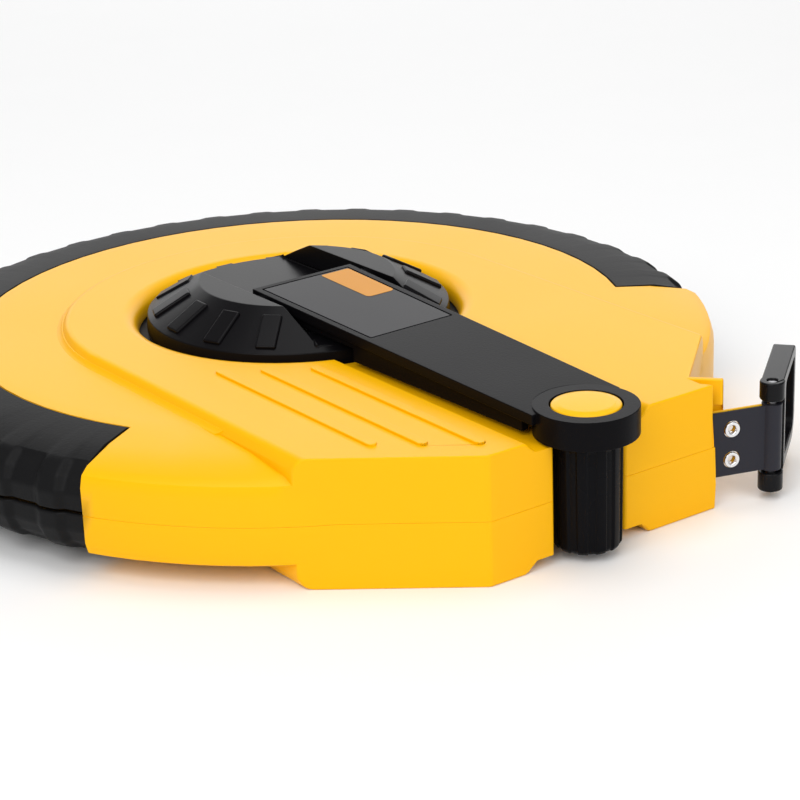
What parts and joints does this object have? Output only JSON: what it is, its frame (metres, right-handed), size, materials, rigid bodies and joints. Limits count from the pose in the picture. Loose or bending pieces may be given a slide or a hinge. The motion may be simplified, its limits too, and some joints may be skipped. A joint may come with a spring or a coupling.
{
  "type": "surveyor tape reel",
  "caption": "Closed-case measuring tape reel with a rubber bumper, a folding winding crank stowed in its channel and a finger ring on the tape end.",
  "frame": {"origin": "on the drum axis, on the flat underside of the case's raised boss", "axes": "+Z along the drum axis towards the crank, +X along the stowed crank from the drum axis to the nose of the case"},
  "size_m": [0.2034, 0.1878, 0.0344],
  "materials": {
    "case_yellow": "satin moulded ABS, warm yellow, fine spark-erosion grain",
    "bumper_rubber": "matte over-moulded rubber, finely grained",
    "screw_steel": "zinc-plated steel",
    "drum_black": "black moulded plastic",
    "bush_brass": "turned brass",
    "tape_yellow": "PVC-coated fibreglass tape, satin",
    "crank_black": "satin moulded plastic, fine grain",
    "label_grey": "smooth printed film with a plain orange patch",
    "cap_yellow": "polished moulded plastic",
    "grip_black": "satin moulded plastic with flutes",
    "patch_black": "smooth black reinforcing film",
    "eyelet_nickel": "nickel-plated, polished",
    "ring_black": "glossy moulded plastic"
  },
  "bodies": {
    "case": {"upper_shell": "case_yellow", "lower_shell": "case_yellow", "rubber_bumper_upper": "bumper_rubber", "rubber_bumper_lower": "bumper_rubber", "nose_screw_1": "screw_steel", "nose_screw_2": "screw_steel", "rim_screw_1": "screw_steel", "rim_screw_2": "screw_steel", "rim_screw_3": "screw_steel", "drum_axle": "screw_steel", "hub_washer": "screw_steel", "hub_screw": "screw_steel"},
    "crank_hub": {"crank_hub": "crank_black", "arm_hinge_pin": "screw_steel"},
    "crank_arm": {"crank_arm": "crank_black", "arm_label": "label_grey", "grip_cap": "cap_yellow", "grip_axle": "screw_steel", "grip_washer": "screw_steel", "grip_screw": "screw_steel"},
    "grip": {"grip": "grip_black"},
    "drum": {"drum_core": "drum_black", "drum_flange_lower": "drum_black", "drum_flange_upper": "drum_black", "tape_coil": "tape_yellow", "tape_anchor_pin": "screw_steel", "drum_bush_lower": "bush_brass", "drum_bush_upper": "bush_brass"},
    "tape_end": {"tape_strip": "tape_yellow", "tape_reinforcement": "patch_black", "tape_eyelet_1": "eyelet_nickel", "tape_eyelet_2": "eyelet_nickel"},
    "end_ring": {"finger_ring": "ring_black", "ring_pin": "screw_steel"}
  },
  "joints": [
    {"name": "crank_turn", "type": "hinge", "parent": "case", "child": "crank_hub", "pos_m": [0, 0, 0.0275], "axis": [0, 0, 1], "range_deg": [-0.6, 0.6]},
    {"name": "crank_unfold", "type": "hinge", "parent": "crank_hub", "child": "crank_arm", "pos_m": [0.0042, 0, 0.0322], "axis": [0, -1, 0], "range_deg": [0, 180]},
    {"name": "grip_spin", "type": "hinge", "parent": "crank_arm", "child": "grip", "pos_m": [0.0989, 0, 0.0134], "axis": [0, 0, 1], "continuous": true},
    {"name": "drum_turn", "type": "hinge", "parent": "case", "child": "drum", "pos_m": [0, 0, 0.01375], "axis": [0, 0, 1], "range_deg": [0, 30.9]},
    {"name": "tape_pull", "type": "slide", "parent": "case", "child": "tape_end", "axis": [0.3173, 0.9483, 0], "range_m": [0, 0.045]},
    {"name": "ring_swing", "type": "hinge", "parent": "tape_end", "child": "end_ring", "pos_m": [0.10349, 0.04642, 0.01375], "axis": [0, 0, 1], "range_deg": [-170, 20]}
  ],
  "couplings": [
    {"joint": "tape_pull", "follows": "drum_turn", "m_per_rad": 0.08341}
  ]
}
